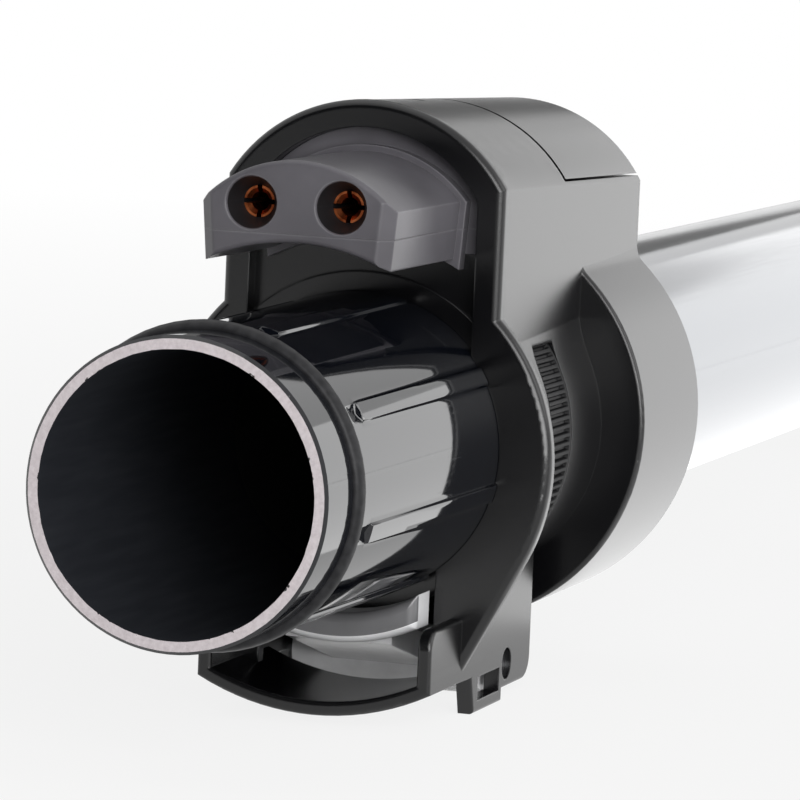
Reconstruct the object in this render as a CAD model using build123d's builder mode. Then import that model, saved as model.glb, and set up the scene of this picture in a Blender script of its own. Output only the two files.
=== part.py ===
from build123d import *
import os
from math import acos, atan2, cos, hypot, radians, sin, sqrt

os.makedirs("parts", exist_ok=True)

# Vacuum extension tube with a powered connection, in millimetres.
# +X runs along the tube from the spigot's mouth to the socket's mouth, +Z is up, through the hood.
# The origin is the centre of the spigot's mouth.

# Tube and airway
overall_length = 500.0
tube_od = 36.0
tube_wall = 0.9

# Spigot
spigot_length = 65.0        # from the mouth to the flange
spigot_wall = 1.6           # at the mouth
spigot_step = 0.3           # by which its bore is narrower than the steel tube's
spigot_draft = 0.6          # growth in radius towards the flange
spigot_chamfer = 0.4
sleeve_grip = 53.0          # length behind the flange that holds the steel tube
tube_inset = 3.0            # from the flange to the steel tube's end
rib_count = 8
rib_width = 2.4
rib_height = 0.4
rib_start = 14.5
rib_first_angle = 15.0
pit_length = 2.0            # sink mark in front of each rib
pit_depth = 0.4

# Seal on the spigot
seal_x = 10.6
seal_width = 2.6
seal_bulge = 1.3            # how far the seal stands out of the spigot
seal_groove_depth = 0.7

# Flange and hood of the end housing
flange_thickness = 2.0
flange_radius = 25.7
flange_drop = 1.5           # of the flange's centre, below the axis
hood_half_width = 18.2
hood_corner_z = 32.8
hood_apex_z = 43.0
hood_rim = 3.4              # width of the rim round the hood's mouth
hood_wall = 2.2
hood_narrowing = 0.6        # of its half width, from front to rear
hood_drop = 1.9             # of its top, from front to rear
recess_depth = 2.5          # hood's mouth to its inner wall
inner_wall = 2.5
rim_round = 1.0
saddle_wall = 2.45          # of the neck round the spigot, between the hollows above and below it
lid_front = 29.0            # from the flange to the lid
lid_seam_rise = 0.5         # of the lid's lower edge, above the hood's corner
slot_mark_x = 17.0          # from the flange to the mark on the hood's top
slot_mark_width = 6.0
slot_mark_length = 1.6
slot_mark_depth = 0.6

# Collar
collar_offset = 38.0        # from the flange to the collar's front face
collar_length = 28.0
collar_radius = 27.2
collar_round = 0.6
collar_blend = 3.0          # radius between collar and hood
neck_blend = 20.0           # radius between the neck and the hood's walls

# Lower housing, trough and feet
lower_half_width = 15.2
lower_length = 31.3         # behind the flange
lower_wall = 2.0
lower_edge_z = 29.4         # depth of the straight lower edge
lower_depth = 32.4          # depth behind the feet
lower_rear_wall = 1.6
lower_round = 3.0
lower_edge_round = 0.5
foot_front = 5.0            # from the flange to the feet
foot_length = 14.0
foot_depth = 34.0
foot_slope = 1.5
foot_window_edge = 1.6
trough_reach = 12.5         # in front of the flange
trough_run = 9.0            # of its floor, behind the flange
trough_gap = 12.0           # between the spigot's root and the trough's floor
trough_wall = 1.8
trough_round = 0.5
trough_wall_height = 8.0    # of its side walls, above the corner of the floor
trough_corner_round = 2.5   # of its side walls, in front

# Contact block
block_reach = 26.3          # in front of the flange
block_gap = 7.6             # between the spigot's root and the block's underside
block_half_width = 12.4
block_foot_half_width = 11.8
block_shoulder_z = 31.0
block_apex_z = 36.6
block_seam_z = 27.6
block_step = 1.6            # width of the step at its root
block_step_length = 2.0
block_base_length = 5.0
block_round = 0.6
block_facet = 1.6           # across the front corners at its ends
contact_spacing = 11.4
contact_z = 31.2
contact_funnel_d = 6.6
contact_funnel_depth = 3.0
contact_hole_d = 4.0
contact_wall = 0.8
contact_lead = 0.5          # chamfer of a contact's mouth
contact_length = 38.0
contact_slit = 0.6
contact_slit_length = 9.0

# Serrated lock ring round the spigot, between the flange and the collar
lock_ring_offset = 15.0     # from the flange
lock_ring_length = 9.0
lock_ring_play = 0.5        # round it
lock_tooth_count = 120
lock_tooth_depth = 0.5
lock_tooth_length = 8.0

# Latch lever
pivot_offset = 20.5         # from the flange to the pin
pivot_z = 29.3              # depth below the axis
pin_d = 4.0
pin_recess = 0.8
hub_radius = 4.2
tongue_reach = 5.6          # in front of the flange
tongue_top_gap = 1.4        # between the spigot's ribs and the tongue at rest
tongue_height = 3.8
tongue_half_width = 10.8
tongue_round = 1.2
arm_half_width = 7.0
arm_height = 3.6
tail_length = 8.4           # behind the pin
tail_depth = 31.8
tail_height = 4.0
spring_wire_d = 0.8
spring_d = 4.4
spring_turns = 4.0
spring_offset = 6.2         # behind the pin

# Wires and conduit
wire_d = 2.0
wire_spacing = 2.3
conduit_od = 5.8
conduit_wall = 0.5
wire_slot_offset = 27.0     # from the flange to the slot into the tube
wire_slot_length = 14.0
wire_slot_width = 6.2
far_slot_offset = 14.0      # from the steel tube's far end to the middle of its slot
wire_lead = 3.5             # straight length behind a contact or a pin
wire_shift = 6.0            # length over which the wires draw together
wire_drop = 7.0             # length over which they enter the tube
wire_high_z = 26.0          # height at which they turn down
wire_bend = 4.5             # bend radius

# Socket at the far end
socket_depth = 65.5
socket_wall = 2.4
socket_gap = 0.1            # between the spigot's ribs and the socket's wall
socket_lead = 1.0           # chamfer of the socket's mouth
socket_grip = 40.0          # length on the steel tube
socket_collar_radius = 26.2
socket_collar_length = 28.0
socket_round = 0.8          # of the mouth's outer edge
plug_cavity_depth = 27.0
plug_clearance = 0.6        # round a contact block that enters the cavity
plug_length = 12.0
plug_pin_reach = 18.0
latch_window_edge = 1.8     # between the socket's mouth and the latch window
latch_window_length = 4.6
latch_window_play = 0.4
socket_foot_half_width = 7.0
socket_foot_length = 44.0
socket_foot_round = 3.0     # of its upright corners
socket_lid_length = 50.0
plug_pin_d = 2.2
plug_pin_tail = 6.0         # behind the plug carrier

# Clearances
fit_gap = 0.05              # pieces that are fixed together
pin_gap = 0.05              # pin in the lever
lid_gap = 0.3
spring_seat_gap = 0.15
swing_gap = 0.7             # round the lever

# Values worked out from the sizes above
tube_radius = tube_od / 2
airway_radius = tube_radius - tube_wall
mouth_radius = airway_radius - spigot_step
tip_radius = mouth_radius + spigot_wall
root_radius = tip_radius + spigot_draft
bore_radius = root_radius + fit_gap
saddle_radius = bore_radius + saddle_wall
flange_x = spigot_length
flange_back = flange_x + flange_thickness
tube_start = flange_x + tube_inset
sleeve_end = flange_x + sleeve_grip
collar_front = flange_x + collar_offset
collar_rear = collar_front + collar_length
lid_x = flange_x + lid_front
hood_length = collar_rear - flange_x
inner_wall_x = flange_x + recess_depth
cavity_x = inner_wall_x + inner_wall
lower_end = flange_x + lower_length
pivot_x = flange_x + pivot_offset
block_arc = root_radius + block_gap
trough_floor = root_radius + trough_gap
trough_outer = trough_floor + trough_wall
trough_front = flange_x - trough_reach
socket_radius = root_radius + rib_height + socket_gap
socket_outer = socket_radius + socket_wall
tube_end = overall_length - socket_depth
socket_rear = tube_end - socket_grip
cut_margin = 5.0            # how far a cutting tool runs past what it cuts


def arch_face(half_width, corner_z, apex_z, base_z):
    """Face of an arch on two straight sides, in the plane of the sketch that takes it."""
    with BuildSketch() as arch:
        with BuildLine():
            Polyline(
                (half_width, corner_z),
                (half_width, base_z),
                (-half_width, base_z),
                (-half_width, corner_z),
            )
            ThreePointArc((-half_width, corner_z), (0, apex_z), (half_width, corner_z))
        make_face()
    return arch.sketch


def hood_face(x, inset, base_z):
    """Face of the hood's arch at x, drawn in by inset. The hood gets narrower and lower towards its rear."""
    share = (x - flange_x) / hood_length
    half_width = hood_half_width - share * hood_narrowing - inset
    corner_z = hood_corner_z - share * hood_drop
    apex_z = hood_apex_z - share * hood_drop - inset
    return arch_face(half_width, corner_z, apex_z, base_z)


def lid_side(gap):
    """Side view of the space that the lid takes, drawn in by gap along its seams."""
    front_corner = hood_corner_z - hood_drop * lid_front / hood_length
    rear_corner = hood_corner_z - hood_drop
    with BuildSketch() as side:
        with BuildLine():
            Polyline(
                (lid_x + gap, front_corner + lid_seam_rise + gap),
                (lid_x + gap, hood_apex_z + cut_margin),
                (collar_rear + cut_margin, hood_apex_z + cut_margin),
                (collar_rear + cut_margin, rear_corner + lid_seam_rise + gap),
                close=True,
            )
        make_face()
    return side.sketch


def save(builder, node):
    """Label a finished piece and write it."""
    builder.part.label = node
    export_step(builder.part, f"parts/{node}.step")


# Chromed steel tube, with a slot for the wires at each end
near_slot_x = flange_x + wire_slot_offset + wire_slot_length / 2
far_slot_x = tube_end - far_slot_offset
slot_middle_z = (airway_radius + saddle_radius) / 2
slot_height = saddle_radius - airway_radius + 2 * wire_d
with BuildPart() as wand_tube:
    with BuildSketch(Plane.YZ.offset(tube_start)):
        Circle(tube_radius)
        Circle(airway_radius, mode=Mode.SUBTRACT)
    extrude(amount=tube_end - tube_start)
    with Locations((near_slot_x, 0, slot_middle_z)):
        Box(wire_slot_length, wire_slot_width, slot_height, mode=Mode.SUBTRACT)
    with Locations((far_slot_x, 0, slot_middle_z)):
        Box(wire_slot_length, wire_slot_width, slot_height, mode=Mode.SUBTRACT)
save(wand_tube, "wand_tube")

# Moulded spigot: a ribbed nose, and a thin sleeve over the steel tube's end
seal_front = seal_x - seal_width / 2
seal_back = seal_x + seal_width / 2
groove_radius = tip_radius - seal_groove_depth
with BuildPart() as spigot_sleeve:
    with BuildSketch(Plane.XZ):
        with BuildLine():
            Polyline(
                (0, mouth_radius),
                (0, tip_radius - spigot_chamfer),
                (spigot_chamfer, tip_radius),
                (seal_front - fit_gap, tip_radius),
                (seal_front - fit_gap, groove_radius),
                (seal_back + fit_gap, groove_radius),
                (seal_back + fit_gap, tip_radius),
                (flange_x, root_radius),
                (sleeve_end, root_radius),
                (sleeve_end, tube_radius + fit_gap),
                (tube_start - fit_gap, tube_radius + fit_gap),
                (tube_start - fit_gap, mouth_radius),
                close=True,
            )
        make_face()
    revolve(axis=Axis.X)
    for index in range(rib_count):
        turn = rib_first_angle + index * 360 / rib_count
        rib_plane = Plane.XZ.rotated((turn - 90, 0, 0))
        with BuildSketch(rib_plane):
            with BuildLine():
                Polyline(
                    (rib_start, groove_radius),
                    (rib_start, tip_radius + rib_height),
                    (flange_x, root_radius + rib_height),
                    (flange_x, groove_radius),
                    close=True,
                )
            make_face()
        extrude(amount=rib_width / 2, both=True)
        with BuildSketch(rib_plane):
            with Locations((rib_start, tip_radius)):
                Rectangle(pit_length, 2 * pit_depth, align=(Align.MAX, Align.CENTER))
        extrude(amount=rib_width / 2, both=True, mode=Mode.SUBTRACT)
    with Locations((near_slot_x, 0, slot_middle_z)):
        Box(wire_slot_length, wire_slot_width, slot_height, mode=Mode.SUBTRACT)
save(spigot_sleeve, "spigot_sleeve")

# Seal ring with a rounded crown
with BuildPart() as seal_ring:
    with BuildSketch(Plane.XZ):
        with BuildLine():
            Polyline(
                (seal_front, tip_radius),
                (seal_front, groove_radius + fit_gap),
                (seal_back, groove_radius + fit_gap),
                (seal_back, tip_radius),
            )
            ThreePointArc(
                (seal_back, tip_radius),
                (seal_x, tip_radius + seal_bulge),
                (seal_front, tip_radius),
            )
        make_face()
    revolve(axis=Axis.X)
save(seal_ring, "seal_ring")

# End housing: flange, hood, collar, neck, trough and lower housing in one moulding
rim_half_width = hood_half_width - hood_rim
base_z = block_seam_z - block_step * 2      # lower edge of the contact block's base
cavity_end = collar_rear - hood_wall
lower_corner = (lower_half_width - trough_wall / 2, -lower_edge_z)
corner_drop = lower_corner[1] + flange_drop
corner_reach = hypot(lower_corner[0], corner_drop)
tangent_turn = atan2(corner_drop, lower_corner[0]) + acos(flange_radius / corner_reach)
tangent_point = (flange_radius * cos(tangent_turn), flange_radius * sin(tangent_turn) - flange_drop)
foot_x = flange_x + foot_front
foot_end = foot_x + foot_length
lower_inner = lower_half_width - lower_wall
lock_ring_x = flange_x + lock_ring_offset

# Collar, which runs into the hood with a soft blend
with BuildPart() as collar:
    with BuildSketch(Plane.YZ.offset(collar_front)) as collar_face:
        Circle(collar_radius)
        add(hood_face(collar_rear, 0, 0))
        creases = collar_face.vertices().filter_by_position(Axis.Y, saddle_wall, collar_radius)
        fillet(creases, radius=collar_blend)
    extrude(amount=collar_length)
    fillet(collar.faces().sort_by(Axis.X)[0].edges(), radius=collar_round)

# Lower housing with its feet, drawn from the side
with BuildPart() as lower_housing:
    with BuildSketch(Plane.XZ) as lower_side:
        with BuildLine():
            Polyline(
                (flange_back, -airway_radius / 2),
                (flange_back, -lower_edge_z),
                (foot_x, -lower_edge_z),
                (foot_x + foot_slope, -foot_depth),
                (foot_end, -foot_depth),
                (foot_end, -lower_depth),
                (lower_end, -lower_depth),
                (lower_end, -airway_radius / 2),
                close=True,
            )
        make_face()
        fillet(lower_side.vertices().sort_by(Axis.X)[-2:].sort_by(Axis.Y)[0], radius=lower_round)
    extrude(amount=lower_half_width, both=True)
    lower_sides = lower_housing.faces().sort_by(Axis.Y)
    fillet(lower_sides[0].edges() + lower_sides[-1].edges(), radius=lower_edge_round)

# Trough that wraps the mating neck from below, with a floor that runs on under the latch
with BuildPart() as trough:
    with BuildSketch(Plane.YZ.offset(trough_front)):
        corner_z = sqrt(trough_outer**2 - lower_half_width**2)
        with Locations((0, -corner_z + trough_wall_height)):
            Rectangle(2 * lower_half_width, trough_outer, align=(Align.CENTER, Align.MAX))
        Circle(trough_outer, mode=Mode.INTERSECT)
        with BuildSketch(mode=Mode.PRIVATE) as trough_hollow:
            Rectangle(2 * (lower_half_width - trough_wall), trough_outer, align=(Align.CENTER, Align.MAX))
            Circle(trough_floor, mode=Mode.INTERSECT)
        add(trough_hollow.sketch, mode=Mode.SUBTRACT)
    extrude(amount=trough_reach + trough_run)
    wall_corners = trough.edges().filter_by(Axis.Y).group_by(Axis.Z)[-1].group_by(Axis.X)[0]
    fillet(wall_corners, radius=trough_corner_round)
    fillet(trough.faces().sort_by(Axis.X)[0].edges(), radius=trough_round)

with BuildPart() as end_housing:
    with BuildSketch(Plane.YZ.offset(flange_x)):
        with Locations((0, -flange_drop)):
            Circle(flange_radius)
        add(arch_face(hood_half_width, hood_corner_z, hood_apex_z, 0))
        with BuildLine():
            Polyline(
                tangent_point,
                lower_corner,
                (-lower_corner[0], lower_corner[1]),
                (-tangent_point[0], tangent_point[1]),
                close=True,
            )
        make_face()
    extrude(amount=flange_thickness)
    fillet(end_housing.faces().sort_by(Axis.X)[0].edges(), radius=rim_round)
    hood_start = flange_x + rim_round
    with BuildSketch(Plane.YZ.offset(hood_start)):
        add(hood_face(hood_start, 0, 0))
    with BuildSketch(Plane.YZ.offset(collar_rear)):
        add(hood_face(collar_rear, 0, 0))
    loft(ruled=True)
    with BuildSketch(Plane.YZ.offset(flange_back)) as neck_face:
        Circle(saddle_radius)
        add(hood_face(collar_rear, 0, 0))
        creases = neck_face.vertices().filter_by_position(Axis.Y, saddle_wall, saddle_radius)
        fillet(creases, radius=neck_blend)
    extrude(amount=collar_offset)
    add(collar.part)
    add(lower_housing.part)
    # Hollows of the hood, the feet and the lower housing
    with BuildSketch(Plane.YZ.offset(flange_x)):
        add(arch_face(rim_half_width, hood_corner_z - hood_rim / 2, hood_apex_z - hood_rim, 0))
    extrude(amount=recess_depth, mode=Mode.SUBTRACT)
    with BuildSketch(Plane.YZ.offset(inner_wall_x)):
        add(arch_face(rim_half_width, hood_corner_z - hood_rim / 2, hood_apex_z - hood_rim, base_z))
    extrude(amount=inner_wall, mode=Mode.SUBTRACT)
    with BuildSketch(Plane.YZ.offset(cavity_x)):
        add(hood_face(cavity_x, hood_wall, 0))
    with BuildSketch(Plane.YZ.offset(cavity_end)):
        add(hood_face(cavity_end, hood_wall, 0))
    loft(ruled=True, mode=Mode.SUBTRACT)
    with BuildSketch(Plane.XZ):
        window_low = -foot_depth + foot_window_edge
        with Locations(((foot_x + foot_slope + foot_end) / 2, (window_low - lower_edge_z) / 2)):
            Rectangle(foot_length - foot_slope - 2 * foot_window_edge, -lower_edge_z - window_low)
    extrude(amount=lower_half_width, both=True, mode=Mode.SUBTRACT)
    with BuildSketch(Plane.YZ.offset(flange_back)):
        Rectangle(2 * lower_inner, foot_depth + cut_margin, align=(Align.CENTER, Align.MAX))
    extrude(amount=lower_end - lower_rear_wall - flange_back, mode=Mode.SUBTRACT)
    with BuildSketch(Plane.YZ.offset(flange_x)):
        Rectangle(2 * (tongue_half_width + swing_gap), trough_floor, align=(Align.CENTER, Align.MAX))
    extrude(amount=flange_thickness, mode=Mode.SUBTRACT)
    add(trough.part)
    # Neck round the spigot, with bores for the sleeve, the steel tube and the lock ring
    with BuildSketch(Plane.YZ.offset(flange_back)):
        Circle(saddle_radius)
    extrude(amount=collar_rear - flange_back)
    with BuildSketch(Plane.YZ.offset(flange_x)):
        Circle(bore_radius)
    extrude(amount=sleeve_grip + fit_gap, mode=Mode.SUBTRACT)
    with BuildSketch(Plane.YZ.offset(flange_x)):
        Circle(tube_radius + fit_gap)
    extrude(amount=collar_rear - flange_x, mode=Mode.SUBTRACT)
    with BuildSketch(Plane.YZ.offset(lock_ring_x - fit_gap)):
        Circle(saddle_radius + lock_ring_play)
    extrude(amount=lock_ring_length + 2 * fit_gap, mode=Mode.SUBTRACT)
    # Pin hole, wire slot, lid opening and the mark on the hood
    with BuildSketch(Plane.XZ):
        with Locations((pivot_x, -pivot_z)):
            Circle(pin_d / 2 + fit_gap)
    extrude(amount=lower_half_width, both=True, mode=Mode.SUBTRACT)
    with Locations((near_slot_x, 0, slot_middle_z)):
        Box(wire_slot_length, wire_slot_width, slot_height, mode=Mode.SUBTRACT)
    with BuildSketch(Plane.XZ):
        add(lid_side(0))
    extrude(amount=collar_radius, both=True, mode=Mode.SUBTRACT)
    with Locations((flange_x + slot_mark_x, 0, hood_apex_z)):
        Box(slot_mark_length, slot_mark_width, 2 * slot_mark_depth, mode=Mode.SUBTRACT)
save(end_housing, "end_housing")

# Hood lid: the rear of the hood's arch, with a rear wall
with BuildPart() as hood_lid:
    with BuildSketch(Plane.YZ.offset(lid_x)):
        add(hood_face(lid_x, 0, 0))
    with BuildSketch(Plane.YZ.offset(collar_rear)):
        add(hood_face(collar_rear, 0, 0))
    loft(ruled=True)
    with BuildSketch(Plane.YZ.offset(lid_x)):
        add(hood_face(lid_x, hood_wall, 0))
    with BuildSketch(Plane.YZ.offset(cavity_end)):
        add(hood_face(cavity_end, hood_wall, 0))
    loft(ruled=True, mode=Mode.SUBTRACT)
    with BuildSketch(Plane.XZ):
        add(lid_side(lid_gap))
    extrude(amount=collar_radius, both=True, mode=Mode.INTERSECT)
save(hood_lid, "hood_lid")

# Contact block, moulded in two halves that meet at a straight seam
block_front = flange_x - block_reach
step_x = inner_wall_x - block_step_length
base_end = inner_wall_x + block_base_length


def block_face(extra):
    """Face of the contact block, grown by extra, in the plane of the sketch that takes it."""
    foot = block_foot_half_width + extra
    shoulder = block_half_width + extra
    arc = block_arc - extra
    foot_z = sqrt(arc**2 - foot**2)
    with BuildSketch() as outline:
        with BuildLine():
            ThreePointArc((-foot, foot_z), (0, arc), (foot, foot_z))
            Line((foot, foot_z), (shoulder, block_shoulder_z))
            ThreePointArc(
                (shoulder, block_shoulder_z),
                (0, block_apex_z + extra),
                (-shoulder, block_shoulder_z),
            )
            Line((-shoulder, block_shoulder_z), (-foot, foot_z))
        make_face()
    return outline.sketch


with BuildPart() as block:
    with BuildSketch(Plane.YZ.offset(block_front)):
        add(block_face(0))
    extrude(amount=inner_wall_x - block_front)
    end_corners = block.faces().sort_by(Axis.X)[0].edges().sort_by(Axis.Y)
    chamfer([end_corners[0], end_corners[-1]], length=block_facet)
    fillet(block.faces().sort_by(Axis.X)[0].edges(), radius=block_round)
    with BuildSketch(Plane.YZ.offset(step_x)):
        add(block_face(block_step / 2))
    extrude(amount=block_step_length)
    with BuildSketch(Plane.YZ.offset(inner_wall_x)):
        add(arch_face(
            rim_half_width - fit_gap,
            hood_corner_z - hood_rim / 2,
            hood_apex_z - hood_rim - fit_gap,
            base_z + fit_gap,
        ))
    extrude(amount=block_base_length)
    for side in (-1, 1):
        with BuildSketch(Plane.YZ.offset(block_front)):
            with Locations((side * contact_spacing / 2, contact_z)):
                Circle(contact_hole_d / 2)
        extrude(amount=base_end - block_front, mode=Mode.SUBTRACT)
        with BuildSketch(Plane.YZ.offset(block_front)):
            with Locations((side * contact_spacing / 2, contact_z)):
                Circle(contact_funnel_d / 2)
        with BuildSketch(Plane.YZ.offset(block_front + contact_funnel_depth)):
            with Locations((side * contact_spacing / 2, contact_z)):
                Circle(contact_hole_d / 2)
        loft(mode=Mode.SUBTRACT)

with BuildPart() as connector_upper:
    add(block.part)
    split(bisect_by=Plane.XY.offset(block_seam_z), keep=Keep.TOP)
save(connector_upper, "connector_upper")

with BuildPart() as connector_lower:
    add(block.part)
    split(bisect_by=Plane.XY.offset(block_seam_z), keep=Keep.BOTTOM)
save(connector_lower, "connector_lower")

# Copper contacts: slit tubes in the block's holes
contact_radius = contact_hole_d / 2 - fit_gap
contact_bore = contact_radius - contact_wall
contact_x = block_front + contact_funnel_depth
contact_end = contact_x + contact_length
for side, name in ((1, "contact_left"), (-1, "contact_right")):
    with BuildPart() as contact:
        with BuildSketch(Plane.YZ.offset(contact_x)):
            with Locations((side * contact_spacing / 2, contact_z)):
                Circle(contact_radius)
                Circle(contact_bore, mode=Mode.SUBTRACT)
        extrude(amount=contact_length)
        mouth_edges = contact.faces().sort_by(Axis.X)[0].edges().sort_by(SortBy.RADIUS)
        chamfer(mouth_edges[0], length=contact_lead)
        with BuildSketch(Plane.YZ.offset(contact_x)):
            with Locations((side * contact_spacing / 2, contact_z)):
                Rectangle(2 * contact_radius, contact_slit)
                Rectangle(contact_slit, 2 * contact_radius)
        extrude(amount=contact_slit_length, mode=Mode.SUBTRACT)
    save(contact, name)

# Lock ring, serrated in front of a plain rear rim
with BuildPart() as lock_ring:
    with BuildSketch(Plane.YZ.offset(lock_ring_x)):
        Circle(saddle_radius)
        Circle(bore_radius, mode=Mode.SUBTRACT)
    extrude(amount=lock_ring_length)
    with BuildSketch(Plane.YZ.offset(lock_ring_x)):
        with PolarLocations(saddle_radius, lock_tooth_count):
            Rectangle(2 * lock_tooth_depth, lock_tooth_depth)
    extrude(amount=lock_tooth_length, mode=Mode.SUBTRACT)
save(lock_ring, "lock_ring")

# Latch lever: tongue, arm and tail on one hub
tongue_inner = root_radius + rib_height + tongue_top_gap
tongue_outer = tongue_inner + tongue_height
tongue_front = flange_x - tongue_reach
with BuildPart() as release_lever:
    with BuildSketch(Plane.YZ.offset(tongue_front)):
        Rectangle(2 * tongue_half_width, tongue_outer, align=(Align.CENTER, Align.MAX))
        Circle(tongue_outer, mode=Mode.INTERSECT)
        Circle(tongue_inner, mode=Mode.SUBTRACT)
        with BuildSketch(mode=Mode.PRIVATE) as below_axis:
            Rectangle(2 * tongue_half_width, tongue_inner * cos(radians(45)), align=(Align.CENTER, Align.MAX))
        add(below_axis.sketch, mode=Mode.SUBTRACT)
    extrude(amount=tongue_reach)
    fillet(release_lever.faces().sort_by(Axis.X)[0].edges(), radius=tongue_round)
    with BuildSketch(Plane.XZ):
        with BuildLine():
            Polyline(
                (flange_x - tongue_reach / 2, -tongue_outer + arm_height),
                (flange_x - tongue_reach / 2, -tongue_outer),
                (pivot_x, -pivot_z - arm_height / 2),
                (pivot_x, -pivot_z + arm_height / 2),
                close=True,
            )
        make_face()
    extrude(amount=arm_half_width, both=True)
    with BuildSketch(Plane.XZ):
        with Locations((pivot_x, -pivot_z)):
            Circle(hub_radius)
        with BuildLine():
            Polyline(
                (pivot_x, -tail_depth + tail_height),
                (pivot_x, -tail_depth),
                (pivot_x + tail_length, -tail_depth),
                (pivot_x + tail_length, -tail_depth + tail_height),
                close=True,
            )
        make_face()
    extrude(amount=lower_inner - swing_gap, both=True)
    with BuildSketch(Plane.XZ):
        with Locations((pivot_x, -pivot_z)):
            Circle(pin_d / 2 + pin_gap)
    extrude(amount=lower_half_width, both=True, mode=Mode.SUBTRACT)
save(release_lever, "release_lever")

# Lever's pin, set below the walls' outer faces
with BuildPart() as latch_pin:
    with BuildSketch(Plane.XZ):
        with Locations((pivot_x, -pivot_z)):
            Circle(pin_d / 2)
    extrude(amount=lower_half_width - pin_recess, both=True)
save(latch_pin, "latch_pin")

# Spring between the lever's tail and the saddle
spring_low = -tail_depth + tail_height + spring_seat_gap
spring_high = -saddle_radius - spring_seat_gap
spring_x = pivot_x + spring_offset
spring_height = spring_high - spring_low - spring_wire_d
with BuildPart() as latch_spring:
    with BuildLine():
        coil = Helix(
            pitch=spring_height / spring_turns,
            height=spring_height,
            radius=(spring_d - spring_wire_d) / 2,
            center=(spring_x, 0, spring_low + spring_wire_d / 2),
        )
    with BuildSketch(Plane(coil @ 0, z_dir=coil % 0)):
        Circle(spring_wire_d / 2)
    sweep(path=coil, is_frenet=True)
save(latch_spring, "latch_spring")

# Conduit along the top of the airway
conduit_z = airway_radius - fit_gap - conduit_od / 2
conduit_start = near_slot_x + wire_slot_length / 2
conduit_end = far_slot_x - wire_slot_length / 2
with BuildPart() as wire_conduit:
    with BuildSketch(Plane.YZ.offset(conduit_start)):
        with Locations((0, conduit_z)):
            Circle(conduit_od / 2)
            Circle(conduit_od / 2 - conduit_wall, mode=Mode.SUBTRACT)
    extrude(amount=conduit_end - conduit_start)
save(wire_conduit, "wire_conduit")

# Wires from the contacts, through the conduit, to the plug's pins
cavity_back = overall_length - plug_cavity_depth
plug_back = cavity_back - plug_length
pin_start = plug_back - plug_pin_tail
contact_y = contact_spacing / 2
wire_y = wire_spacing / 2
near_turn = contact_end + wire_lead
far_turn = pin_start - wire_lead
near_high = near_turn + wire_shift
far_high = far_turn - wire_shift
near_low = near_slot_x + wire_slot_length / 2 - wire_d
far_low = far_slot_x - wire_slot_length / 2 + wire_d
for side, name in ((1, "wire_left"), (-1, "wire_right")):
    with BuildPart() as wire:
        with BuildLine():
            route = FilletPolyline(
                (contact_end - wire_lead, side * contact_y, contact_z),
                (near_turn, side * contact_y, contact_z),
                (near_high, side * wire_y, wire_high_z),
                (near_low, side * wire_y, conduit_z),
                (far_low, side * wire_y, conduit_z),
                (far_low + wire_drop, side * wire_y, wire_high_z),
                (far_high, side * wire_y, wire_high_z + wire_d),
                (far_turn, side * contact_y, contact_z),
                (pin_start - fit_gap, side * contact_y, contact_z),
                radius=wire_bend,
            )
        with BuildSketch(Plane(route @ 0, z_dir=route % 0)):
            Circle(wire_d / 2)
        sweep(path=route)
    save(wire, name)

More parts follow.
